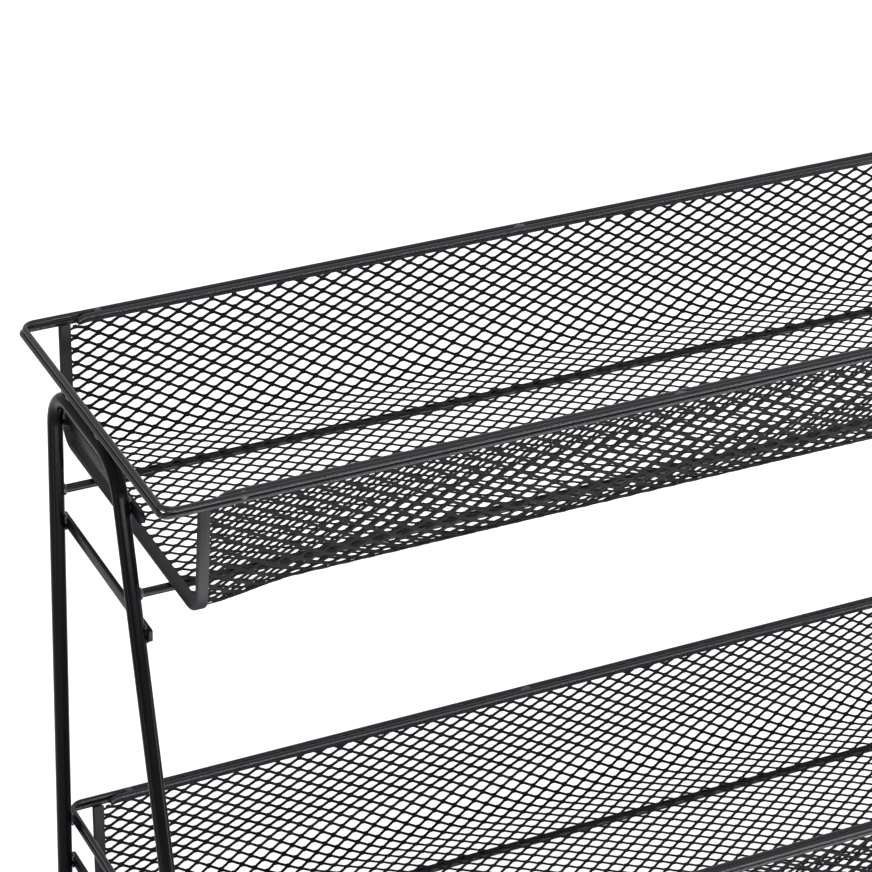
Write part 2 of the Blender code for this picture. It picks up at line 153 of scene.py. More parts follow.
# Ties and caps
TIE_NAMES = ("upper_guard", "upper_under", "lower_guard", "lower_under")
TIE_EDGE_RADIUS = 0.35 * MM
TIE_EDGE_STEPS = 3
UNDER_TIE_CORNER_RADIUS = 0.8 * MM
GUARD_TIE_ROUND_SHARE = 0.999       # of half its height, which leaves the bevel an end edge
TIE_CORNER_STEPS = 6
CAP_RADIUS = 5.2 * MM
CAP_WALL = 1.4 * MM
CAP_SLEEVE_LENGTH = 14 * MM
CAP_BASE_THICKNESS = 3.5 * MM
CAP_EDGE_RADIUS = 0.6 * MM
CAP_EDGE_STEPS = 3
CAP_SIDES = 48

# Weld beads: half sizes along X, Y and Z
BUTT_BEAD = (3.2 * MM, 1.9 * MM, 1.2 * MM)          # joins the ends of a rim wire, and the hem
TACK_BEAD = (2.3 * MM, 1.6 * MM, 2.1 * MM)          # joins rim hem and both wires
HEM_ROD_BEAD = (2.2 * MM, 1.9 * MM, 0.8 * MM)       # rod under an end hem
ROD_BEAD = (1.3 * MM, 2.8 * MM, 2.8 * MM)           # end of a rod on a leg
WIRE_BEAD = (2.1 * MM, 3.2 * MM, 1.1 * MM)          # wire on the frame's top run
LOOP_BEAD = (1.2 * MM, 3.0 * MM, 1.9 * MM)          # wire against a leg
TIE_BEAD = (1.1 * MM, 2.4 * MM, 1.0 * MM)           # edge of a tie on a leg
REST_BEAD = (1.3 * MM, 1.2 * MM, 0.9 * MM)          # rod resting on a tie
BEAD_LUMP = 0.12                                    # share of its size that a bead is uneven by
BEAD_LUMP_RATE = 1.8                                # steps of the noise over half a bead
BEAD_RIPPLE = 0.04                                  # share of its size that the ripples add
BEAD_RIPPLE_RATE = 9                                # radians of ripple over half a bead
BEAD_SUBDIVISIONS = 4
RIM_TACK_X = 210.5 * MM
BUTT_X = {"front": -4 * MM, "back": 1 * MM}
BUTT_INSET = WIRE_RADIUS * 0.8                      # inwards from the wire's middle
TACK_INSET = WIRE_RADIUS / 3
TACK_DROP = WIRE_RADIUS / 2                         # below the top wire's middle
FRONT_WIRE_BEAD_Y = 20 * MM                         # on the top run, behind its front bend

# Finish
SMOOTH_DEGREES = 40                                 # sides that meet at less are shaded as one
ALL_SMOOTH_DEGREES = 180
STEEL_EDGE_ANGLE = math.radians(60)                 # edges sharper than this are rolled
CAP_EDGE_ANGLE = math.radians(50)

# Coats
COAT_IOR = 1.5
CLOUD_DETAIL = 3
PEEL_DETAIL = 2
MIX_COLOUR_A, MIX_COLOUR_B, MIX_COLOUR_RESULT = 6, 7, 2     # sockets of a colour Mix node

# Worked out from the sizes above
WALL_FLARE = math.atan2((RIM_WIDTH - FLOOR_WIDTH) / 2, WALL_HEIGHT)
BEND_TURN = math.pi / 2 - WALL_FLARE
LEG_LEAN = math.atan(LEG_LEAN_SHARE)
MERGE_DISTANCE = 0.001 * MM


# Small helpers

def linear_colour(hex_colour):
    """An sRGB hex colour as the linear RGBA that the shaders take."""
    parts = [int(hex_colour[start:start + 2], 16) / 255 for start in (1, 3, 5)]
    return [(part / 12.92 if part <= 0.04045 else ((part + 0.055) / 1.055) ** 2.4)
            for part in parts] + [1]


def add_node(tree, kind, settings=None, links=None):
    """A node with its settings and the outputs that feed it."""
    node = tree.nodes.new(kind)
    for name, value in (settings or {}).items():
        if name in node.inputs:
            node.inputs[name].default_value = value
        else:
            setattr(node, name, value)
    for name, output in (links or {}).items():
        tree.links.new(output, node.inputs[name])
    return node


def finish_piece(piece, name, material, nodes=(), smooth_degrees=SMOOTH_DEGREES):
    """Place in the mesh, smooth round sides, then the calls that tie the piece to the CAD."""
    bpy.ops.object.mode_set(mode="OBJECT")
    bpy.ops.object.select_all(action="DESELECT")
    piece.select_set(True)
    bpy.context.view_layer.objects.active = piece
    bpy.ops.object.transform_apply(location=True, rotation=True, scale=True)
    bpy.ops.object.shade_smooth_by_angle(angle=math.radians(smooth_degrees))
    piece.name = name
    piece.data.name = name
    piece.data.materials.clear()
    piece.data.materials.append(material)
    piece.select_set(False)
    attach(piece, "root")
    if nodes:
        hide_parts(*nodes)
    return piece


def select_where(piece, kind, test):
    """Select the vertices, edges or faces whose middle passes a test, in edit mode."""
    bpy.ops.object.mode_set(mode="OBJECT")
    mesh = piece.data
    for group in (mesh.vertices, mesh.edges, mesh.polygons):
        group.foreach_set("select", [False] * len(group))
    for item in {"VERT": mesh.vertices, "EDGE": mesh.edges, "FACE": mesh.polygons}[kind]:
        if kind == "VERT":
            middle = item.co
        elif kind == "EDGE":
            middle = (mesh.vertices[item.vertices[0]].co + mesh.vertices[item.vertices[1]].co) / 2
        else:
            middle = item.center
        item.select = test(middle, item)
    bpy.ops.object.mode_set(mode="EDIT")
    bpy.ops.mesh.select_mode(type=kind)


def spin_selected(steps, angle, centre, axis):
    """Spin by the right-hand rule: the operator itself turns the other way."""
    bpy.ops.mesh.spin(steps=steps, angle=-angle, center=centre, axis=axis)


def apply_modifier(piece, kind, **settings):
    modifier = piece.modifiers.new(kind.title(), kind)
    for name, value in settings.items():
        setattr(modifier, name, value)
    bpy.context.view_layer.objects.active = piece
    bpy.ops.object.modifier_apply(modifier=modifier.name)


# The trough: flat places to bent places

def half_outline(bend_radius):
    """Length of flat floor, bend and wall on one side of the trough's middle."""
    tangent = bend_radius * math.tan(BEND_TURN / 2)
    floor = FLOOR_WIDTH / 2 - tangent
    arc = bend_radius * BEND_TURN
    wall = WALL_HEIGHT / math.cos(WALL_FLARE) - tangent
    return floor, arc, wall


END_OUTLINE = sum(half_outline(END_BEND_RADIUS))
MOUTH_X = TRAY_LENGTH / 2 - END_HEM_WIDTH
MOUTH_S = END_OUTLINE - RIM_HEM_HEIGHT
SHEET_HALF_X = TRAY_LENGTH / 2 - HEM_STRIP_THICKNESS
SHEET_HALF_S = END_OUTLINE - HEM_STRIP_THICKNESS


def bend_radius_at(x):
    """The floor bend opens from the tight end hems to the soft middle of the tray."""
    share = min(max((MOUTH_X - abs(x)) / BEND_BLEND_LENGTH, 0), 1)
    smooth_share = share * share * (3 - 2 * share)
    return END_BEND_RADIUS + (FLOOR_BEND_RADIUS - END_BEND_RADIUS) * smooth_share


def rim_dip_at(x, s):
    """The top edge curves down to the tray's ends, so that the wires hide it there."""
    full_x = TRAY_LENGTH / 2 - RIM_HEM_SETBACK - RIM_DIP_LENGTH
    share = min(max((abs(x) - full_x) / RIM_DIP_LENGTH, 0), 1)
    near_edge = min(max(1 - (END_OUTLINE - abs(s)) / RIM_DIP_DEPTH, 0), 1)
    return RIM_DIP * (1 - math.sqrt(1 - share * share)) * near_edge


def bend_point(x, s, w):
    """Where a point of the flat sheet lies once bent: s across it, w outwards from its middle."""
    bend_radius = bend_radius_at(x)
    floor, arc, wall = half_outline(bend_radius)
    run = (abs(s) - rim_dip_at(x, s)) / END_OUTLINE * (floor + arc + wall)
    turn = min(max((run - floor) / bend_radius, 0), BEND_TURN)
    beyond = max(run - floor - arc, 0)
    y = min(run, floor) + (bend_radius + w) * math.sin(turn) + beyond * math.cos(turn)
    z = bend_radius - (bend_radius + w) * math.cos(turn) + beyond * math.sin(turn)
    return Vector((x, math.copysign(y, s), z))


def tray_place(tier):
    """The middle of a tray's floor, at the middle of its sheet."""
    low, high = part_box(f"{tier}_tray_mesh")
    return Vector((0, (low.y + high.y) / 2, low.z + SHEET_THICKNESS / 2))


def bend_to_tray(mesh, tier):
    place = tray_place(tier)
    for vertex in mesh.vertices:
        vertex.co = bend_point(*vertex.co) + place


# Expanded mesh. Thousands of openings share their bonds, so it is built in mesh code.

def strand_tilt_at(x, s):
    pressed = abs(x) > MOUTH_X or abs(s) > MOUTH_S
    return PRESSED_TILT if pressed else STRAND_TILT


def bond_points(x, s):
    """Twelve points of a bond: left and right end, three lines across, outer and inner side."""
    tilt = strand_tilt_at(x, s)
    points = []
    for end in (-1, 1):
        for line in (-1, 0, 1):
            for side in (-1, 1):
                across, out = line * STRAND_WIDTH, side * STRAND_THICKNESS / 2
                reach = BOND_LENGTH / 2 + (BOND_REACH if line == 0 else 0)
                points.append((x + end * reach,
                               s + across * math.cos(tilt) - out * math.sin(tilt),
                               across * math.sin(tilt) + out * math.cos(tilt)))
    return points


def ribbon(near, far):
    """Four faces round a ribbon between two quads of corners, listed round the section."""
    return [(near[k], near[(k + 1) % 4], far[(k + 1) % 4], far[k]) for k in range(4)]


def bond_section(first, end, line):
    """The four corners of half a bond's end, from one line across to the next."""
    start = first + (end * 3 + line) * 2
    return (start, start + 1, start + 3, start + 2)


def expanded_faces(bonds):
    """Faces of all bonds and of the strands that join each bond to the two right of it."""
    faces = []
    for (i, j), first in bonds.items():
        for line in (0, 1):
            near, far = bond_section(first, 0, line), bond_section(first, 1, line)
            sides = ribbon(near, far)
            faces += [sides[1], sides[3], sides[2 * line]]
            if (i - 1, j + 2 * line - 1) not in bonds:
                faces.append(near[::-1])
            neighbour = bonds.get((i + 1, j + 2 * line - 1))
            if neighbour is None:
                faces.append(far)
            else:
                faces += ribbon(far, bond_section(neighbour, 0, 1 - line))
    return faces


def drawn_place(s):
    """Where a row of the even lattice lies across the folded sheet."""
    pairs = list(zip(MESH_DRAWN, MESH_DRAWN[1:]))
    (low, low_drawn), (high, high_drawn) = next((pair for pair in pairs if s <= pair[1][0]),
                                                pairs[-1])
    return s + low_drawn + (high_drawn - low_drawn) * (s - low) / (high - low)


def expanded_sheet(tier, material):
    half_columns = int(SHEET_HALF_X / (MESH_LONG_WAY / 2)) + 1
    spare = abs(MESH_SLANT) * SHEET_HALF_X + abs(MESH_SHIFT_S)
    half_rows = int((SHEET_HALF_S + spare) / (MESH_SHORT_WAY / 2)) + 1
    points, bonds = [], {}
    for i in range(-half_columns, half_columns + 1):
        for j in range(-half_rows, half_rows + 1):
            x = i * MESH_LONG_WAY / 2 + MESH_SHIFT_X
            s = drawn_place(j * MESH_SHORT_WAY / 2 + MESH_SHIFT_S + MESH_SLANT * x)
            inside = (abs(x) + BOND_LENGTH / 2 + BOND_REACH <= SHEET_HALF_X
                      and abs(s) + STRAND_WIDTH <= SHEET_HALF_S)
            if inside and (i + j) % 2 == 0:
                bonds[i, j] = len(points)
                points += bond_points(x, s)
    mesh = bpy.data.meshes.new("expanded_sheet")
    mesh.from_pydata(points, [], expanded_faces(bonds))
    bend_to_tray(mesh, tier)
    piece = bpy.data.objects.new("expanded_sheet", mesh)
    bpy.context.scene.collection.objects.link(piece)
    bpy.context.view_layer.objects.active = piece
    piece.select_set(True)
    bpy.ops.object.mode_set(mode="EDIT")
    bpy.ops.mesh.select_all(action="SELECT")
    bpy.ops.mesh.normals_make_consistent(inside=False)
    return finish_piece(piece, f"{tier}_expanded_sheet", material, [f"{tier}_tray_mesh"])


# Hems, folded from strip over the sheet's edges

def folded_strip(leaf_width, length, half):
    """A strip along Y, folded over an edge at X = 0 with both leaves towards -X."""
    middle = -half - HEM_STRIP_THICKNESS / 2
    leaf = leaf_width + middle
    bpy.ops.mesh.primitive_plane_add(size=1, location=(middle - leaf / 2, 0, half))
    piece = bpy.context.object
    piece.scale = (leaf, length, 1)
    bpy.ops.object.transform_apply(location=True, rotation=True, scale=True)
    select_where(piece, "EDGE", lambda place, _: abs(place.x - middle) < MERGE_DISTANCE)
    spin_selected(HEM_FOLD_STEPS, math.pi, (middle, 0, 0), (0, 1, 0))
    bpy.ops.mesh.extrude_region_move(TRANSFORM_OT_translate={"value": (-leaf, 0, 0)})
    bpy.ops.object.mode_set(mode="OBJECT")
    return piece


def round_leaf_corners(piece, leaf_width, length):
    def at_corner(place, _):
        return (abs(place.x + leaf_width) < MERGE_DISTANCE
                and abs(abs(place.y) - length / 2) < MERGE_DISTANCE)
    select_where(piece, "VERT", at_corner)
    bpy.ops.mesh.bevel(offset=HEM_CORNER_RADIUS, segments=HEM_CORNER_STEPS, affect="VERTICES")


def slice_at(stations, axis):
    """Cut all of the piece being edited square to an axis, at each station along it."""
    for station in stations:
        bpy.ops.mesh.select_all(action="SELECT")
        bpy.ops.mesh.bisect(plane_co=station * axis, plane_no=axis)


def thicken_strip(piece):
    bpy.ops.mesh.select_all(action="SELECT")
    bpy.ops.mesh.remove_doubles(threshold=MERGE_DISTANCE)
    bpy.ops.mesh.normals_make_consistent(inside=False)
    bpy.ops.object.mode_set(mode="OBJECT")
    apply_modifier(piece, "SOLIDIFY", thickness=HEM_STRIP_THICKNESS, offset=0)
    apply_modifier(piece, "BEVEL", width=HEM_EDGE_RADIUS, segments=HEM_EDGE_STEPS,
                   limit_method="ANGLE", angle_limit=STEEL_EDGE_ANGLE)


def rim_hem_pinch_at(depth):
    """The fold is a round roll; below it both leaves are pressed onto the sheet."""
    below = max(-depth - RIM_HEM_HALF - HEM_STRIP_THICKNESS / 2, 0)
    roll = math.sqrt(max(RIM_HEM_HALF ** 2 - below ** 2, 0))
    return min(RIM_HEM_HALF - roll, RIM_HEM_PINCH)


def rim_hem(tier, side_name, side, material):
    """The hem over a long top edge, dipping behind the wires at both ends."""
    length = TRAY_LENGTH - 2 * RIM_HEM_SETBACK
    piece = folded_strip(RIM_HEM_HEIGHT, length, RIM_HEM_HALF)
    round_leaf_corners(piece, RIM_HEM_HEIGHT, length)
    spans = [length * (span / RIM_HEM_SPANS - 0.5) for span in range(1, RIM_HEM_SPANS)]
    dip = [length / 2 - RIM_DIP_LENGTH * step / DIP_STEPS for step in range(1, DIP_STEPS + 1)]
    slice_at(spans, Vector((0, 1, 0)))
    slice_at([-station for station in dip] + dip, Vector((0, 1, 0)))
    slice_at([-RIM_HEM_HALF - HEM_STRIP_THICKNESS / 2 - RIM_HEM_HALF * step / PINCH_STEPS
              for step in range(1, PINCH_STEPS)], Vector((1, 0, 0)))
    thicken_strip(piece)
    for vertex in piece.data.vertices:
        depth, along, out = vertex.co
        vertex.co = (along, side * (END_OUTLINE + RIM_HEM_RISE + depth),
                     out - math.copysign(rim_hem_pinch_at(depth), out))
    bend_to_tray(piece.data, tier)
    return finish_hem(piece, tier, f"{side_name}_rim_hem", material)


def end_hem(tier, side_name, side, material):
    """The hem over an open end: down one wall, across the floor and up the other."""
    piece = folded_strip(END_HEM_WIDTH, 2 * END_OUTLINE, END_HEM_HALF)
    floor, arc, _ = half_outline(END_BEND_RADIUS)
    stations = [floor + arc * step / CORNER_STEPS for step in range(-1, CORNER_STEPS + 2)]
    bpy.ops.object.mode_set(mode="EDIT")
    slice_at([-station for station in stations] + stations, Vector((0, 1, 0)))
    thicken_strip(piece)
    for vertex in piece.data.vertices:
        depth, along, out = vertex.co
        vertex.co = (side * (TRAY_LENGTH / 2 + depth), along, out)
    bend_to_tray(piece.data, tier)
    return finish_hem(piece, tier, f"{side_name}_end_hem", material)


def finish_hem(piece, tier, name, material):
    bpy.ops.object.mode_set(mode="EDIT")
    bpy.ops.mesh.select_all(action="SELECT")
    bpy.ops.mesh.normals_make_consistent(inside=False)
    return finish_piece(piece, f"{tier}_{name}_folded", material, [f"{tier}_{name}"])


# Round bars: a ring, extruded along each straight and spun round each bend

def start_ring(place, direction, radius):
    turn = direction.to_track_quat("Z", "Y").to_euler()
    bpy.ops.mesh.primitive_circle_add(vertices=ROUND_SIDES, radius=radius, location=place,
                                      rotation=turn)
    bpy.ops.object.mode_set(mode="EDIT")
    bpy.ops.mesh.select_all(action="SELECT")
    return bpy.context.object


def run_straight(way):
    bpy.ops.mesh.extrude_region_move(TRANSFORM_OT_translate={"value": way})


def run_round(corner, incoming, outgoing, bend_radius):
    """Spin the ring from the start of a bend to its end."""
    turn = incoming.angle(outgoing)
    axis = incoming.cross(outgoing).normalized()
    start = corner - incoming * bend_radius * math.tan(turn / 2)
    centre = start + axis.cross(incoming) * bend_radius
    spin_selected(CORNER_STEPS, turn, centre, axis)


def round_bar(corners, radius, bend_radius, closed):
    """A bar through corners. A closed one starts and ends halfway along its last side."""
    stops = list(corners)
    if closed:
        middle = (corners[0] + corners[-1]) / 2
        stops = [middle] + stops + [middle]
    here = stops[0]
    piece = start_ring(here, (stops[1] - here).normalized(), radius)
    for corner, ahead in zip(stops[1:], stops[2:]):
        incoming, outgoing = (corner - here).normalized(), (ahead - corner).normalized()
        tangent = bend_radius * math.tan(incoming.angle(outgoing) / 2)
        run_straight(corner - incoming * tangent - here)
        run_round(corner, incoming, outgoing, bend_radius)
        here = corner + outgoing * tangent
    run_straight(stops[-1] - here)
    bpy.ops.mesh.select_all(action="SELECT")
    bpy.ops.mesh.remove_doubles(threshold=MERGE_DISTANCE)
    if not closed:
        bpy.ops.mesh.fill_holes(sides=0)
    bpy.ops.mesh.normals_make_consistent(inside=False)
    return piece


def rim_wire(tier, level, material):
    """A closed loop of round wire, where the CAD has it."""
    node = f"{tier}_{level}_rim_wire"
    low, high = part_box(node)
    inset = Vector((WIRE_RADIUS, WIRE_RADIUS + WIRE_TUCKS[level], WIRE_RADIUS))
    low, high = low + inset, high - inset
    corners = [Vector((high.x, low.y, low.z)), Vector((high.x, high.y, low.z)),
               Vector((low.x, high.y, low.z)), Vector((low.x, low.y, low.z))]
    piece = round_bar(corners, WIRE_RADIUS, WIRE_CORNER_RADII[level], closed=True)
    return finish_piece(piece, f"{node}_round", material, [node])


def cross_rod(tier, side_name, material):
    node = f"{tier}_{side_name}_cross_rod"
    low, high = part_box(node)
    middle = (low + high) / 2
    ends = [Vector((x, middle.y, middle.z)) for x in (low.x, high.x)]
    piece = round_bar(ends, ROD_RADIUS, 0, closed=False)
    return finish_piece(piece, f"{node}_round", material, [node])


def leg_places(side_name):
    """Middle of the side frame in X, of its rear leg in Y, and of its top run in Z."""
    low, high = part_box(f"{side_name}_side_frame")
    rear_low, rear_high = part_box(f"{side_name}_rear_foot_cap")
    return (low.x + high.x) / 2, (rear_low.y + rear_high.y) / 2, high.z - BAR_RADIUS


def front_leg_y(height):
    """Middle of the front leg at a height: it meets the upper front rod's line."""
    low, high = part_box("upper_front_cross_rod")
    return (low.y + high.y) / 2 - LEG_LEAN_SHARE * ((low.z + high.z) / 2 - height)


def side_frame(side_name, material):
    node = f"{side_name}_side_frame"
    x, rear_y, top = leg_places(side_name)
    foot = CAP_BASE_THICKNESS
    corners = [Vector((x, front_leg_y(foot), foot)), Vector((x, front_leg_y(top), top)),
               Vector((x, rear_y, top)), Vector((x, rear_y, foot))]
    piece = round_bar(corners, BAR_RADIUS, BAR_BEND_RADIUS, closed=False)
    return finish_piece(piece, f"{node}_round", material, [node])


# Ties and foot caps

def tie_corner_radius(tie_name, height):
    """A guard tie ends in a half round, an under tie nearly square."""
    if tie_name.endswith("guard"):
        return height / 2 * GUARD_TIE_ROUND_SHARE
    return UNDER_TIE_CORNER_RADIUS


def flat_tie(side_name, tie_name, material):
    """A flat bar with rounded ends and rolled edges, where the CAD has it."""
    node = f"{side_name}_{tie_name}_tie"
    low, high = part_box(node)
    bpy.ops.mesh.primitive_cube_add(size=1, location=(low + high) / 2, scale=high - low)
    piece = bpy.context.object
    bpy.ops.object.transform_apply(location=True, rotation=True, scale=True)
    middle = (low + high) / 2

    def end_corner(place, _):
        return (abs(place.x - middle.x) < MERGE_DISTANCE
                and abs(abs(place.y - middle.y) - (high.y - low.y) / 2) < MERGE_DISTANCE)
    select_where(piece, "EDGE", end_corner)
    bpy.ops.mesh.bevel(offset=tie_corner_radius(tie_name, high.z - low.z),
                       segments=TIE_CORNER_STEPS, affect="EDGES")
    bpy.ops.object.mode_set(mode="OBJECT")
    apply_modifier(piece, "BEVEL", width=TIE_EDGE_RADIUS, segments=TIE_EDGE_STEPS,
                   limit_method="ANGLE", angle_limit=STEEL_EDGE_ANGLE)
    return finish_piece(piece, f"{node}_rolled", material, [node])


def foot_cap(side_name, end_name, lean, material):
    """A moulded cap: sleeve with a rolled mouth, cut level with the ground."""
    node = f"{side_name}_{end_name}_foot_cap"
    low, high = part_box(node)
    x = (low.x + high.x) / 2
    y = front_leg_y(0) if lean else (low.y + high.y) / 2
    below = CAP_RADIUS      # stock under the ground, for the level cut through a leaning cap
    height = below + CAP_SLEEVE_LENGTH
    bpy.ops.mesh.primitive_cylinder_add(vertices=CAP_SIDES, radius=CAP_RADIUS, depth=height,
                                        location=(x, y, height / 2 - below))
    piece = bpy.context.object
    bpy.ops.object.transform_apply(location=True, rotation=True, scale=True)
    select_where(piece, "FACE", lambda place, _: place.z > CAP_SLEEVE_LENGTH - MERGE_DISTANCE)
    bpy.ops.mesh.inset(thickness=CAP_WALL)
    bpy.ops.mesh.extrude_region_move(
        TRANSFORM_OT_translate={"value": (0, 0, CAP_BASE_THICKNESS - CAP_SLEEVE_LENGTH)})
    bpy.ops.mesh.select_all(action="SELECT")
    bpy.ops.transform.rotate(value=lean, orient_axis="X", center_override=(x, y, 0))
    bpy.ops.mesh.bisect(plane_co=(0, 0, 0), plane_no=(0, 0, 1), clear_inner=True, use_fill=True)
    bpy.ops.object.mode_set(mode="OBJECT")
    apply_modifier(piece, "BEVEL", width=CAP_EDGE_RADIUS, segments=CAP_EDGE_STEPS,
                   limit_method="ANGLE", angle_limit=CAP_EDGE_ANGLE)
    return finish_piece(piece, f"{node}_moulded", material, [node])


# Weld beads

def lump_bead(piece, place, half_sizes):
    """Give a round blank a bead's size, with the ripples of the weld and an uneven skin."""
    top = cad_box[1].z
    for vertex in piece.data.vertices:
        skin = noise.noise(vertex.co * BEAD_LUMP_RATE + place / MM)
        ripple = math.cos(vertex.co.x * BEAD_RIPPLE_RATE)
        swell = 1 + BEAD_LUMP * skin + BEAD_RIPPLE * ripple
        reach = Vector(part * size for part, size in zip(vertex.co, half_sizes))
        vertex.co = place + reach * swell
        vertex.co.z = min(vertex.co.z, top)


def weld_group(name, beads, material):
    """The weld beads of one part of the rack, joined into one piece."""
    blanks = []
    for place, half_sizes in beads:
        bpy.ops.mesh.primitive_ico_sphere_add(subdivisions=BEAD_SUBDIVISIONS, radius=1)
        blank = bpy.context.object
        lump_bead(blank, Vector(place), half_sizes)
        blanks.append(blank)
    for blank in blanks:
        blank.select_set(True)
    bpy.ops.object.join()
    return finish_piece(bpy.context.object, name, material,
                        smooth_degrees=ALL_SMOOTH_DEGREES)


def tray_welds(tier, material):
    """Butt joints of the top wire, tacks on the rims, and the rods under the end hems."""
    low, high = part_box(f"{tier}_top_rim_wire")
    wire_z = (low.z + high.z) / 2
    butt_z = high.z - BUTT_BEAD[2] * (1 + BEAD_LUMP / 2)
    hem_x = MOUTH_X + END_HEM_WIDTH / 2
    beads = []
    for side_name, outer_y, inwards in (("front", low.y, 1), ("back", high.y, -1)):
        wire_y = outer_y + inwards * WIRE_RADIUS
        beads.append(((BUTT_X[side_name], wire_y + inwards * BUTT_INSET, butt_z), BUTT_BEAD))
        for x in (-RIM_TACK_X, RIM_TACK_X):
            beads.append(((x, wire_y + inwards * TACK_INSET, wire_z - TACK_DROP), TACK_BEAD))
    for rod_name in ("front", "rear"):
        rod_low, rod_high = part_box(f"{tier}_{rod_name}_cross_rod")
        for x in (-hem_x, hem_x):
            beads.append(((x, (rod_low.y + rod_high.y) / 2, rod_high.z), HEM_ROD_BEAD))
    return weld_group(f"{tier}_tray_welds", beads, material)


def frame_welds(side_name, side, material):
    """Where wires, rods and ties meet a side frame."""
    low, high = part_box(f"{side_name}_side_frame")
    frame_x = (low.x + high.x) / 2
    inner_x = frame_x - side * BAR_RADIUS
    rear_y = leg_places(side_name)[1]
    beads = [((frame_x, y, high.z), WIRE_BEAD)
             for y in (FRONT_WIRE_BEAD_Y, rear_y - BAR_BEND_RADIUS)]
    wire_low, wire_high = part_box("lower_bottom_rim_wire")
    wire_z = (wire_low.z + wire_high.z) / 2
    beads += [((inner_x, y, wire_z), LOOP_BEAD) for y in (front_leg_y(wire_z), rear_y)]
    for rod_name in ("front", "rear"):
        rod_low, rod_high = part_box(f"upper_{rod_name}_cross_rod")
        beads.append(((inner_x, (rod_low.y + rod_high.y) / 2, rod_low.z + ROD_RADIUS), ROD_BEAD))
    for tie_name in TIE_NAMES:
        tie_low, tie_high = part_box(f"{side_name}_{tie_name}_tie")
        for z in (tie_low.z, tie_high.z):
            beads += [((inner_x, y, z), TIE_BEAD) for y in (front_leg_y(z), rear_y)]
    tie_low, tie_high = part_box(f"{side_name}_lower_under_tie")
    for rod_name in ("front", "rear"):
        rod_low, rod_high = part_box(f"lower_{rod_name}_cross_rod")
        for y in (rod_low.y, rod_high.y):
            beads.append((((tie_low.x + tie_high.x) / 2, y, tie_high.z), REST_BEAD))
    return weld_group(f"{side_name}_frame_welds", beads, material)


# Floor, light and camera

def add_floor(material):
    bpy.ops.mesh.primitive_plane_add(size=FLOOR_SIZE, location=(0, 0, 0))
    floor = bpy.context.object
    floor.name = "studio_floor"
    floor.data.materials.append(material)


def add_area_light(name, place, target, size, power, glossy=True):
    light = bpy.data.lights.new(name, "AREA")
    light.shape = "RECTANGLE"
    light.size, light.size_y = size
    light.energy = power
    lamp = bpy.data.objects.new(name, light)
    lamp.location = place
    lamp.rotation_euler = (Vector(target) - Vector(place)).to_track_quat("-Z", "Y").to_euler()
    lamp.visible_camera = False
    lamp.visible_glossy = glossy
    bpy.context.scene.collection.objects.link(lamp)


def add_world():
    """White where the camera and the coatings see it, a plain soft level elsewhere."""
    world = bpy.data.worlds.new("studio")
    world.use_nodes = True
    tree = world.node_tree
    tree.nodes.clear()
    path = add_node(tree, "ShaderNodeLightPath")
    seen = add_node(tree, "ShaderNodeMath", {"operation": "MAXIMUM"})
    tree.links.new(path.outputs["Is Camera Ray"], seen.inputs[0])
    tree.links.new(path.outputs["Is Transmission Ray"], seen.inputs[1])
    shown = add_node(tree, "ShaderNodeMath", {"operation": "MAXIMUM"})
    tree.links.new(seen.outputs[0], shown.inputs[0])
    tree.links.new(path.outputs["Is Glossy Ray"], shown.inputs[1])
    soft = add_node(tree, "ShaderNodeBackground",
                    {"Color": WHITE, "Strength": WORLD_SOFT_STRENGTH})
    white = add_node(tree, "ShaderNodeBackground",
                     {"Color": WHITE, "Strength": WORLD_SEEN_STRENGTH})
    mix = add_node(tree, "ShaderNodeMixShader", {}, {0: shown.outputs[0], 1: soft.outputs[0],
                                                     2: white.outputs[0]})
    add_node(tree, "ShaderNodeOutputWorld", {}, {"Surface": mix.outputs[0]})
    bpy.context.scene.world = world


def add_camera():
    data = bpy.data.cameras.new("camera")
    data.lens = CAMERA_LENS
    data.sensor_width = CAMERA_SENSOR
    data.clip_end = CAMERA_FAR
    camera = bpy.data.objects.new("camera", data)
    camera.location = CAMERA_PLACE
    camera.rotation_euler = Euler([math.radians(turn) for turn in CAMERA_TURN_DEGREES])
    bpy.context.scene.collection.objects.link(camera)
    bpy.context.scene.camera = camera


# Coatings

def coating(name, dark, light, roughness, gloss, peel, cloud, peel_depth):
    """Baked powder coat or rubber: an orange-peel skin, and clouds of tone and roughness.

    peel and cloud are the widths of the two patterns. The skin's grain is drawn coarse enough
    to show.
    """
    material = bpy.data.materials.new(name)
    material.use_nodes = True
    tree = material.node_tree
    shader = tree.nodes["Principled BSDF"]
    shader.inputs["Metallic"].default_value = 0
    shader.inputs["IOR"].default_value = COAT_IOR
    shader.inputs["Specular IOR Level"].default_value = gloss
    place = add_node(tree, "ShaderNodeTexCoord").outputs["Object"]
    clouds = add_node(tree, "ShaderNodeTexNoise", {"Scale": 1 / cloud, "Detail": CLOUD_DETAIL},
                      {"Vector": place})
    tone = add_node(tree, "ShaderNodeMix", {"data_type": "RGBA"})
    tone.inputs[MIX_COLOUR_A].default_value = linear_colour(dark)
    tone.inputs[MIX_COLOUR_B].default_value = linear_colour(light)
    tree.links.new(clouds.outputs["Fac"], tone.inputs[0])
    tree.links.new(tone.outputs[MIX_COLOUR_RESULT], shader.inputs["Base Color"])
    dulled = add_node(tree, "ShaderNodeMapRange",
                      {"To Min": roughness[0], "To Max": roughness[1]},
                      {"Value": clouds.outputs["Fac"]})
    tree.links.new(dulled.outputs["Result"], shader.inputs["Roughness"])
    skin = add_node(tree, "ShaderNodeTexNoise", {"Scale": 1 / peel, "Detail": PEEL_DETAIL},
                    {"Vector": place})
    bump = add_node(tree, "ShaderNodeBump", {"Strength": 1, "Distance": peel_depth},
                    {"Height": skin.outputs["Fac"]})
    tree.links.new(bump.outputs["Normal"], shader.inputs["Normal"])
    return material


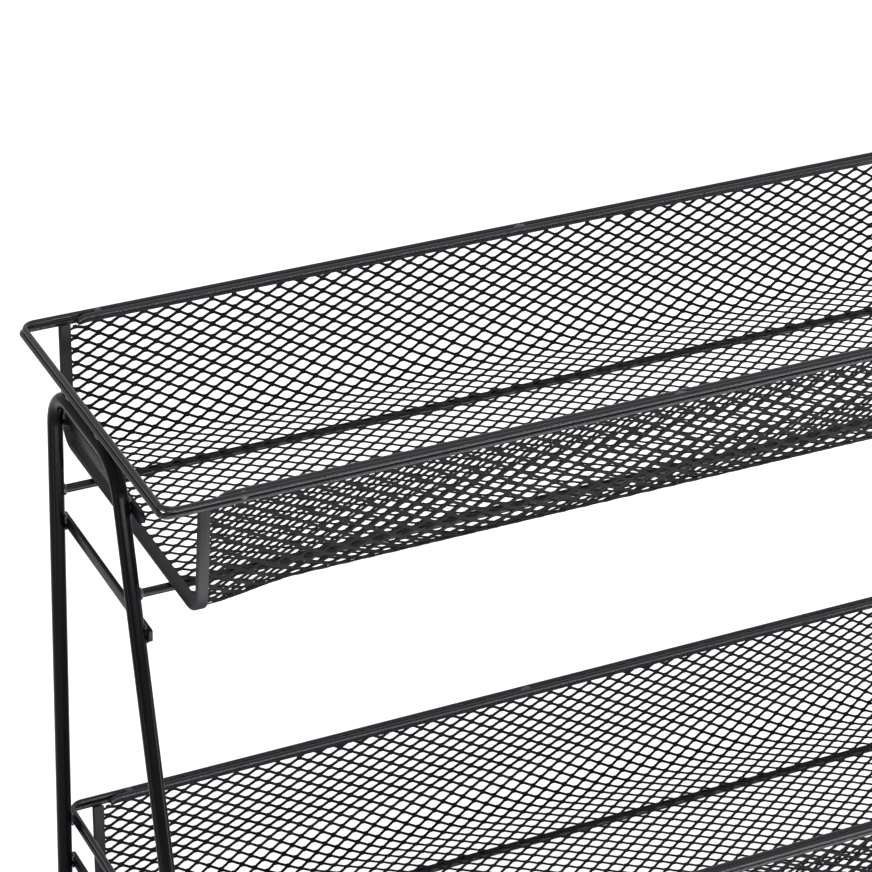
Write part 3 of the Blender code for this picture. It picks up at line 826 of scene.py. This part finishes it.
def floor_paint():
    material = bpy.data.materials.new("pale_studio_floor")
    material.use_nodes = True
    tree = material.node_tree
    shader = tree.nodes["Principled BSDF"]
    shader.inputs["Base Color"].default_value = linear_colour("#f4f4f4")
    shader.inputs["Roughness"].default_value = FLOOR_ROUGHNESS
    path = add_node(tree, "ShaderNodeLightPath")
    glow = add_node(tree, "ShaderNodeEmission", {"Color": WHITE, "Strength": FLOOR_GLOW})
    both = add_node(tree, "ShaderNodeAddShader", {}, {0: shader.outputs[0], 1: glow.outputs[0]})
    mix = add_node(tree, "ShaderNodeMixShader", {}, {0: path.outputs["Is Camera Ray"],
                                                     1: shader.outputs[0], 2: both.outputs[0]})
    tree.links.new(mix.outputs[0], tree.nodes["Material Output"].inputs["Surface"])
    return material


# Build

coats = {
    # Over sharp cut strands: very dark, soft, with hardly a highlight
    "mesh": coating("black_powder_coat_on_expanded_steel", "#050407", "#0d0c10",
                    roughness=(0.36, 0.48), gloss=0.08,
                    peel=0.6 * MM, cloud=12 * MM, peel_depth=0.02 * MM),
    # On smooth strip: clear lines of light along the fold
    "hem": coating("black_powder_coat_on_hem_strip", "#100f14", "#1d1b22",
                   roughness=(0.16, 0.26), gloss=0.35,
                   peel=0.5 * MM, cloud=6 * MM, peel_depth=0.02 * MM),
    # Rougher on the end strips, where the low lights would flash, and painted darker than the same
    # coat on the rim hems: painted shade against those lights
    "end_hem": coating("black_powder_coat_on_end_hem_painted_darker", "#0b0a0e", "#17151b",
                       roughness=(0.36, 0.5), gloss=0.2,
                       peel=0.5 * MM, cloud=6 * MM, peel_depth=0.03 * MM),
    # On drawn wire: smooth, with one thin line of light
    "wire": coating("black_powder_coat_on_rim_wire", "#0d0c11", "#17161c",
                    roughness=(0.13, 0.19), gloss=0.32,
                    peel=0.8 * MM, cloud=14 * MM, peel_depth=0.01 * MM),
    # On drawn rod: a broader and weaker line
    "rod": coating("black_powder_coat_on_cross_rod", "#0c0b0f", "#161419",
                   roughness=(0.22, 0.32), gloss=0.2,
                   peel=0.8 * MM, cloud=14 * MM, peel_depth=0.015 * MM),
    # On bent bar: the blackest, with a faint narrow shine
    "bar": coating("black_powder_coat_on_frame_bar", "#040305", "#09080b",
                   roughness=(0.14, 0.2), gloss=0.06,
                   peel=0.9 * MM, cloud=18 * MM, peel_depth=0.01 * MM),
    # On flat steel: a low even sheen
    "tie": coating("black_powder_coat_on_flat_tie", "#08070a", "#121115",
                   roughness=(0.26, 0.36), gloss=0.1,
                   peel=0.8 * MM, cloud=12 * MM, peel_depth=0.02 * MM),
    # Over a bead: shinier than the steel beside it, with a paler base colour that is a painted
    # highlight for the light the beads catch
    "weld": coating("powder_coat_over_weld_bead_painted_paler", "#24222b", "#413e4b",
                    roughness=(0.2, 0.3), gloss=0.5,
                    peel=0.4 * MM, cloud=3 * MM, peel_depth=0.02 * MM),
    # Rubber as it leaves the mould: matt dark grey
    "foot": coating("black_moulded_rubber", "#121212", "#1a1a1a",
                    roughness=(0.6, 0.75), gloss=0.35,
                    peel=0.5 * MM, cloud=6 * MM, peel_depth=0.03 * MM),
}

for tier in ("upper", "lower"):
    expanded_sheet(tier, coats["mesh"])
    rim_hem(tier, "front", -1, coats["hem"])
    rim_hem(tier, "back", 1, coats["hem"])
    end_hem(tier, "left", -1, coats["end_hem"])
    end_hem(tier, "right", 1, coats["end_hem"])
    rim_wire(tier, "top", coats["wire"])
    rim_wire(tier, "bottom", coats["wire"])
    cross_rod(tier, "front", coats["rod"])
    cross_rod(tier, "rear", coats["rod"])
    tray_welds(tier, coats["weld"])

for side_name, side in (("left", -1), ("right", 1)):
    side_frame(side_name, coats["bar"])
    frame_welds(side_name, side, coats["weld"])
    foot_cap(side_name, "front", LEG_LEAN, coats["foot"])
    foot_cap(side_name, "rear", 0, coats["foot"])
    for tie_name in TIE_NAMES:
        flat_tie(side_name, tie_name, coats["tie"])

add_floor(floor_paint())
for light_name, light_values in LIGHTS.items():
    add_area_light(light_name, **light_values)
add_world()
add_camera()
bpy.context.scene.view_settings.view_transform = "Standard"
